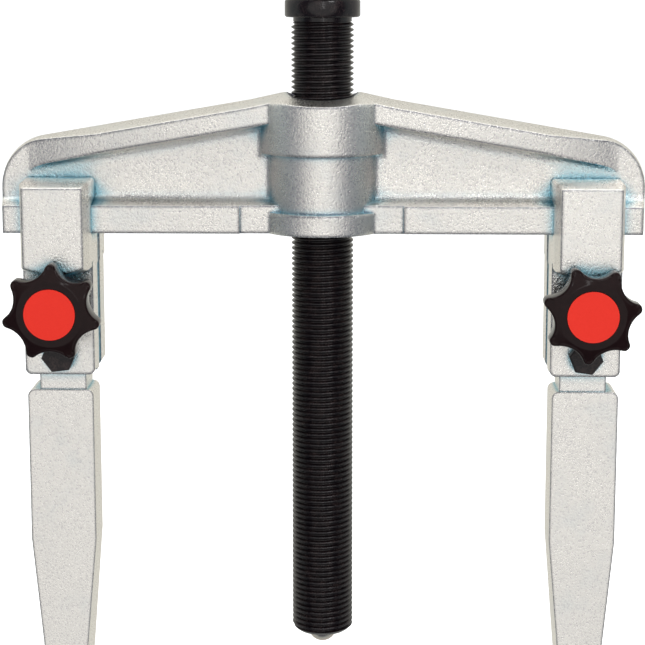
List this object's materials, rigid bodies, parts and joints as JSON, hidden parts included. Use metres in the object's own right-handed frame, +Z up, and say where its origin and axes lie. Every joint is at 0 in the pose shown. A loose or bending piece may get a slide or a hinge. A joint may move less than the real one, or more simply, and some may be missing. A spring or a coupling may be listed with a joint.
{
  "type": "gear puller",
  "caption": "Two-jaw gear puller: a threaded spindle through a forged beam with sliding hooked jaws clamped by star knobs.",
  "frame": {"origin": "where the spindle's axis meets the flat underside of the beam", "axes": "+X along the beam towards the right jaw, +Y to the back, away from the knobs, +Z up the spindle towards its hexagon"},
  "size_m": [0.217, 0.0529, 0.2604],
  "materials": {
    "forged_steel": "bright zinc-plated rough forging",
    "zinc_steel": "bright zinc-plated turned steel",
    "spindle_steel": "black oxide, oiled",
    "fastener_steel": "black oxide",
    "ball_steel": "ground and hardened",
    "knob_plastic": "glossy black thermoset",
    "cap_plastic": "satin red"
  },
  "bodies": {
    "beam": {"beam": "forged_steel"},
    "tip": {"spindle_ball": "ball_steel"},
    "spindle": {"spindle": "spindle_steel"},
    "left_carriage": {"left_front_cheek": "forged_steel", "left_rear_cheek": "forged_steel", "left_pivot_bolt": "fastener_steel", "left_pivot_washer": "zinc_steel", "left_pivot_nut": "fastener_steel"},
    "left_leg": {"left_leg": "forged_steel"},
    "left_clamp_washer": {"left_knob_washer": "zinc_steel"},
    "left_knob": {"left_knob": "knob_plastic", "left_knob_cap": "cap_plastic", "left_knob_stud": "zinc_steel"},
    "right_carriage": {"right_front_cheek": "forged_steel", "right_rear_cheek": "forged_steel", "right_pivot_bolt": "fastener_steel", "right_pivot_washer": "zinc_steel", "right_pivot_nut": "fastener_steel"},
    "right_leg": {"right_leg": "forged_steel"},
    "right_clamp_washer": {"right_knob_washer": "zinc_steel"},
    "right_knob": {"right_knob": "knob_plastic", "right_knob_cap": "cap_plastic", "right_knob_stud": "zinc_steel"}
  },
  "joints": [
    {"name": "spindle_travel", "type": "slide", "parent": "beam", "child": "tip", "axis": [0, 0, 1], "range_m": [-0.0237, 0.1006]},
    {"name": "spindle_turn", "type": "hinge", "parent": "tip", "child": "spindle", "pos_m": [0, 0, 0], "axis": [0, 0, 1], "range_deg": [-4680, 19800]},
    {"name": "left_jaw_slide", "type": "slide", "parent": "beam", "child": "left_carriage", "axis": [-1, 0, 0], "range_m": [-0.0495, 0.006]},
    {"name": "left_leg_tilt", "type": "hinge", "parent": "left_carriage", "child": "left_leg", "pos_m": [-0.0882, 0, -0.0413], "axis": [0, 1, 0], "range_deg": [-2.5, 2.5]},
    {"name": "left_clamp_travel", "type": "slide", "parent": "left_carriage", "child": "left_clamp_washer", "axis": [0, -1, 0], "range_m": [0, 0.0025]},
    {"name": "left_knob_turn", "type": "hinge", "parent": "left_clamp_washer", "child": "left_knob", "pos_m": [-0.0882, 0, -0.0242], "axis": [0, -1, 0], "range_deg": [0, 721]},
    {"name": "right_jaw_slide", "type": "slide", "parent": "beam", "child": "right_carriage", "axis": [1, 0, 0], "range_m": [-0.0495, 0.006]},
    {"name": "right_leg_tilt", "type": "hinge", "parent": "right_carriage", "child": "right_leg", "pos_m": [0.0882, 0, -0.0413], "axis": [0, 1, 0], "range_deg": [-2.5, 2.5]},
    {"name": "right_clamp_travel", "type": "slide", "parent": "right_carriage", "child": "right_clamp_washer", "axis": [0, -1, 0], "range_m": [0, 0.0025]},
    {"name": "right_knob_turn", "type": "hinge", "parent": "right_clamp_washer", "child": "right_knob", "pos_m": [0.0882, 0, -0.0242], "axis": [0, -1, 0], "range_deg": [0, 721]}
  ],
  "couplings": [
    {"joint": "spindle_travel", "follows": "spindle_turn", "m_per_rad": 0.00028871},
    {"joint": "left_knob_turn", "follows": "left_clamp_travel", "rad_per_m": 5026.5},
    {"joint": "right_knob_turn", "follows": "right_clamp_travel", "rad_per_m": 5026.5}
  ]
}
